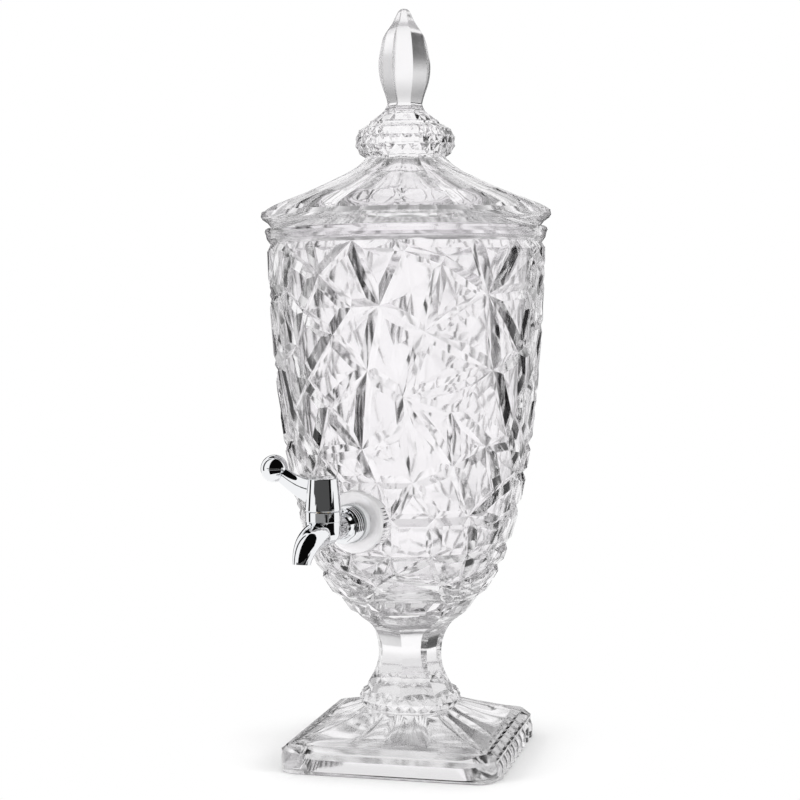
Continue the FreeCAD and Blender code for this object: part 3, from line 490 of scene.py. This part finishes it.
def studio_card(name, first, last, low, high, distance, top_distance, hex_code, seen_by):
    """Card curved round the dispenser, which only the glass or only the metal shows.

    It stands upright where its top is as far away as its foot, and leans in where it's nearer.
    A card for the glass fades out over its upper half, so that no hard edge shows.
    """
    points = []
    for i in range(CARD_STEPS + 1):
        bearing = first + (last - first) * i / CARD_STEPS
        points.append(around(bearing, distance, low))
        points.append(around(bearing, top_distance, high))
    faces = [(2 * i, 2 * i + 1, 2 * i + 3, 2 * i + 2) for i in range(CARD_STEPS)]
    mesh = bpy.data.meshes.new(name)
    mesh.from_pydata(points, [], faces)
    card = bpy.data.objects.new(name, mesh)
    bpy.context.collection.objects.link(card)
    material, tree = new_material(name)
    shader = add_node(tree, "ShaderNodeEmission", {
        "Color": (*linear(hex_code), 1.0), "Strength": 1.0})
    if seen_by == "glass":
        place = add_node(tree, "ShaderNodeTexCoord")
        split = add_node(tree, "ShaderNodeSeparateXYZ", {"Vector": (place, "Object")})
        fade = add_node(tree, "ShaderNodeMapRange", {
            "Value": (split, "Z"), "From Min": (low + high) / 2, "From Max": high},
            interpolation_type="SMOOTHSTEP")
        open_air = add_node(tree, "ShaderNodeBsdfTransparent")
        shader = add_node(tree, "ShaderNodeMixShader", {
            "Fac": (fade, 0), 1: (shader, 0), 2: (open_air, 0)})
    finish_material(tree, shader)
    card.data.materials.append(material)
    card.visible_camera = False
    card.visible_diffuse = False
    card.visible_shadow = False
    card.visible_volume_scatter = False
    card.visible_glossy = seen_by == "metal"
    card.visible_transmission = seen_by == "glass"


def soft_box(name, bearing):
    """Large soft lamp for the floor and the dull pieces. Glass and metal show the tent."""
    data = bpy.data.lights.new(name, "AREA")
    data.shape = "RECTANGLE"
    data.size = SOFT_BOX_WIDTH
    data.size_y = SOFT_BOX_TALL
    data.energy = settings("stage").soft_box_power
    lamp = bpy.data.objects.new(name, data)
    lamp.location = around(bearing, SOFT_BOX_DISTANCE, SOFT_BOX_HEIGHT)
    aim = SOFT_BOX_AIM - lamp.location
    lamp.rotation_euler = aim.to_track_quat("-Z", "Y").to_euler()
    lamp.visible_glossy = False
    lamp.visible_transmission = False
    bpy.context.collection.objects.link(lamp)


def arithmetic(tree, operation, *values):
    """Result of a math node on numbers and (node, output) pairs."""
    node = add_node(tree, "ShaderNodeMath", dict(enumerate(values)), operation=operation)
    return node, 0


def build_floor():
    """White paper that takes the shadow round the foot and fades into the white backdrop. Seen
    through the glass, it bears a painted shadow near the foot.
    """
    stage = settings("stage")
    bpy.ops.object.select_all(action="DESELECT")
    bpy.ops.mesh.primitive_plane_add(size=stage.floor_side, location=(0, 0, -FLOOR_DROP))
    floor = bpy.context.object
    floor.name = "studio_floor"
    material, tree = new_material("matt_white_paper")
    place = add_node(tree, "ShaderNodeTexCoord")
    fibre = add_node(tree, "ShaderNodeTexNoise", {
        "Vector": (place, "Object"), "Scale": 1 / (3 * MM), "Detail": 3.0})
    tone = add_node(tree, "ShaderNodeValToRGB", {"Fac": (fibre, 0)})
    tone.color_ramp.elements[0].color = (*linear("#F6F6F6"), 1.0)
    tone.color_ramp.elements[1].color = (*linear("#FAFAFA"), 1.0)
    paper = add_node(tree, "ShaderNodeBsdfPrincipled", {
        "Base Color": (tone, 0), "Roughness": 0.9, "Specular IOR Level": 0.1})
    ray = add_node(tree, "ShaderNodeLightPath")
    reach = add_node(tree, "ShaderNodeVectorMath", {0: (place, "Object")}, operation="LENGTH")
    # Painted shadow: the floor that the glass shows glows at a strength dimmed near the foot,
    # standing in for the dispenser's shadow
    painted_floor_shadow = add_node(tree, "ShaderNodeMapRange", {
        "Value": (reach, "Value"), "From Min": stage.paper_near, "From Max": stage.painted_shadow_reach,
        "To Min": stage.painted_shadow_tone, "To Max": 1.0}, interpolation_type="SMOOTHSTEP")
    shade = add_node(tree, "ShaderNodeMix", {
        "Factor": (ray, "Is Transmission Ray"), "A": 1.0, "B": (painted_floor_shadow, 0)})
    backdrop = add_node(tree, "ShaderNodeEmission", {
        "Color": (1.0, 1.0, 1.0, 1.0), "Strength": (shade, 0)})
    fade = add_node(tree, "ShaderNodeMapRange", {
        "Value": (reach, "Value"), "From Min": stage.paper_near, "From Max": stage.paper_far},
        interpolation_type="SMOOTHSTEP")
    mirrored = arithmetic(tree, "MAXIMUM", (ray, "Is Camera Ray"), (ray, "Is Glossy Ray"))
    faded = arithmetic(tree, "MULTIPLY", (fade, 0), mirrored)
    share = arithmetic(tree, "MAXIMUM", faded, (ray, "Is Transmission Ray"))
    mix = add_node(tree, "ShaderNodeMixShader", {
        "Fac": share, 1: (paper, 0), 2: (backdrop, 0)})
    finish_material(tree, mix)
    floor.data.materials.append(material)


def build_tent():
    """World: plain white light, which glass shows as a tent with soft grey folds.

    The tent is darker overhead, and one of its white folds is straight behind the dispenser.
    """
    stage = settings("stage")
    world = bpy.data.worlds.new("white_tent")
    bpy.context.scene.world = world
    world.use_nodes = True
    world.cycles.sampling_method = "NONE"
    tree = world.node_tree
    tree.nodes.clear()
    way = add_node(tree, "ShaderNodeTexCoord")
    split = add_node(tree, "ShaderNodeSeparateXYZ", {"Vector": (way, "Generated")})
    height = add_node(tree, "ShaderNodeMapRange", {
        "Value": (split, "Z"), "From Min": math.sin(math.radians(stage.roof_start)),
        "From Max": math.sin(math.radians(stage.roof_end)), "To Min": 1.0,
        "To Max": stage.roof_tone}, interpolation_type="SMOOTHSTEP")
    turned = arithmetic(tree, "ARCTAN2", (split, "X"), (split, "Y"))
    bearing = arithmetic(tree, "ADD", turned, math.radians(CAMERA_AZIMUTH))
    wave = arithmetic(tree, "COSINE", arithmetic(tree, "MULTIPLY", bearing, TENT_FOLDS))
    folds = add_node(tree, "ShaderNodeMapRange", {
        "Value": wave, "From Min": -1.0, "From Max": 0.4, "To Min": stage.fold_tone,
        "To Max": 1.0}, interpolation_type="SMOOTHSTEP")
    tent = arithmetic(tree, "MULTIPLY", (height, 0), (folds, 0))
    ray = add_node(tree, "ShaderNodeLightPath")
    tone = add_node(tree, "ShaderNodeMix", {
        "Factor": (ray, "Is Transmission Ray"), "A": (1.0, 1.0, 1.0, 1.0), "B": tent},
        data_type="RGBA")
    light = add_node(tree, "ShaderNodeBackground", {"Color": (tone, "Result"), "Strength": 1.0})
    add_node(tree, "ShaderNodeOutputWorld", {"Surface": (light, 0)})


def build_stage():
    """Floor, tent, cards and soft boxes, and how far light is followed through the glass."""
    build_floor()
    build_tent()
    for card in CARDS:
        studio_card(*card)
    for box in SOFT_BOXES:
        soft_box(*box)
    scene = bpy.context.scene
    scene.view_settings.view_transform = "Standard"
    scene.cycles.max_bounces = LIGHT_BOUNCES
    scene.cycles.transmission_bounces = LIGHT_BOUNCES
    scene.cycles.glossy_bounces = LIGHT_BOUNCES


class DISPENSER_OT_camera(bpy.types.Operator):
    """Place the camera at the photograph's viewpoint"""

    bl_idname = "dispenser.camera"
    bl_label = "Camera"

    def execute(self, context):
        photo_camera()
        return {"FINISHED"}


class DISPENSER_OT_stage(bpy.types.Operator):
    """Lay the pale floor and set the light tent with its cards"""

    bl_idname = "dispenser.stage"
    bl_label = "Stage"

    def execute(self, context):
        build_stage()
        return {"FINISHED"}


class DISPENSER_OT_glass(bpy.types.Operator):
    """Make the tank, lid and pedestal of pressed glass with polished edges"""

    bl_idname = "dispenser.glass"
    bl_label = "Glass"

    def execute(self, context):
        glass = settings("glass")
        bright = glass_surface("bright_fire_polished_glass", 0.0, 0.012)
        soft = glass_surface("soft_fire_polished_glass", 0.03, 0.05)
        satin = glass_surface("satin_fire_polished_glass", 0.08, 0.11)
        hazy = glass_surface("lightly_frosted_finial_glass", 0.16, 0.2)
        pressed = glass_surface("plunger_pressed_glass", glass.inside_roughness,
                                glass.inside_roughness * 1.4)
        stippled = glass_surface("stippled_pressed_glass", 0.1, 0.14,
                                 grain_height=0.02 * MM, grain_size=1.2 * MM)
        ground = glass_surface("ground_glass", 0.4, 0.5,
                               grain_height=0.01 * MM, grain_size=0.3 * MM, clear=0.45)
        cement = clear_cement()
        joint, rim = (corner[2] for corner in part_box("tank"))
        washer_low, washer_high = (Vector(corner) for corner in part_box("outer_washer"))
        pad_back = washer_high.y + PAD_DEPTH
        tap_height = (washer_low.z + washer_high.z) / 2
        finial_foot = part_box("lid")[1][2] - glass.finial_height

        def on_finial(centre, normal):
            return centre.z > finial_foot

        def inside_tank(centre, normal):
            away = Vector((centre.x, centre.y, 0)).normalized()
            on_floor = normal.z > NEARLY_LEVEL and centre.z < rim - INSIDE_DEPTH
            return on_floor or normal.dot(away) < INWARD

        def on_pad(centre, normal):
            off_axis = math.hypot(centre.x, centre.z - tap_height)
            return off_axis < PAD_RADIUS and centre.y < pad_back

        def at_joint(centre, normal):
            return abs(normal.z) > QUITE_LEVEL and abs(centre.z - joint) < JOINT_TOLERANCE

        def underside(centre, normal):
            return normal.z < -NEARLY_LEVEL and HOLLOW_LOW < centre.z < HOLLOW_HIGH

        mouldings = (
            ("tank", "dispenser", bright, TANK_CREASE, inside_tank,
             ((pressed, inside_tank), (ground, on_pad), (cement, at_joint))),
            ("lid", "lid", soft, MOULDING_CREASE, None, ((hazy, on_finial),)),
            ("pedestal", "dispenser", satin, MOULDING_CREASE, None,
             ((stippled, underside), (cement, at_joint))))
        for node, body, polished, crease, averaged, finishes in mouldings:
            piece = own_copy(node, "pressed_" + node)
            polish_edges(piece, glass.ridge_round, crease)
            carry_normals(piece, node, averaged)
            dress(piece, polished, body, node)
            for material, chosen in finishes:
                finish_faces(piece, material, chosen)
        return {"FINISHED"}


class DISPENSER_OT_tap(bpy.types.Operator):
    """Make the chrome pieces of the tap with polished edges"""

    bl_idname = "dispenser.tap"
    bl_label = "Tap"

    def execute(self, context):
        material = chrome_plate()
        width = settings("tap").edge_round
        for node, body in (("tap_body", "dispenser"), ("bonnet_ring", "dispenser"),
                           ("tap_handle", "handle"), ("lever_ball", "handle"),
                           ("cap_cover", "handle"), ("lock_nut", "dispenser")):
            piece = own_copy(node, "plated_" + node)
            polish_edges(piece, width, CHROME_CREASE)
            carry_normals(piece, node)
            dress(piece, material, body, node)
        return {"FINISHED"}


class DISPENSER_OT_seals(bpy.types.Operator):
    """Give the washers, seals, plug and screw their finishes"""

    bl_idname = "dispenser.seals"
    bl_label = "Washers, seals and plug"

    def execute(self, context):
        silicone = clear_silicone()
        rubber = seal_rubber()
        finishes = {
            "outer_washer": (silicone, "clear_silicone"),
            "inner_washer": (silicone, "clear_silicone"),
            "backing_washer": (moulded_nylon(), "white_nylon"),
            "plug_seal_upper": (rubber, "seal_rubber"),
            "plug_seal_lower": (rubber, "seal_rubber"),
            "valve_plug": (turned_metal("turned_brass", "#C9A24A", 0.2 * MM, 0.22), "plug_brass"),
            "handle_screw": (turned_metal("turned_stainless_steel", "#B8BABC", 0.3 * MM, 0.25),
                             "screw_steel"),
        }
        for node, (material, slot) in finishes.items():
            dress(NODES[node], material)
        return {"FINISHED"}


class DISPENSER_PT_panel(bpy.types.Panel):
    """Sidebar with the dispenser's operators and settings"""

    bl_idname = "DISPENSER_PT_panel"
    bl_label = "Glass Dispenser"
    bl_space_type = "VIEW_3D"
    bl_region_type = "UI"
    bl_category = "Dispenser"

    def draw(self, context):
        for operator in OPERATORS:
            self.layout.operator(operator.bl_idname)
        for group in GROUPS:
            box = self.layout.box()
            for name in GROUPS[group].__annotations__:
                box.prop(settings(group), name)


GROUPS = {"glass": GlassSettings, "tap": TapSettings, "stage": StageSettings}
OPERATORS = (DISPENSER_OT_camera, DISPENSER_OT_stage, DISPENSER_OT_glass, DISPENSER_OT_tap,
             DISPENSER_OT_seals)


def register():
    for group, kind in GROUPS.items():
        bpy.utils.register_class(kind)
        setattr(bpy.types.Scene, "dispenser_" + group, bpy.props.PointerProperty(type=kind))
    for kind in (*OPERATORS, DISPENSER_PT_panel):
        bpy.utils.register_class(kind)


def unregister():
    for kind in (DISPENSER_PT_panel, *reversed(OPERATORS)):
        bpy.utils.unregister_class(kind)
    for group, kind in reversed(GROUPS.items()):
        delattr(bpy.types.Scene, "dispenser_" + group)
        bpy.utils.unregister_class(kind)


def main():
    register()
    bpy.ops.dispenser.camera()
    bpy.ops.dispenser.stage()
    bpy.ops.dispenser.glass()
    bpy.ops.dispenser.tap()
    bpy.ops.dispenser.seals()


if __name__ == "__main__":
    main()
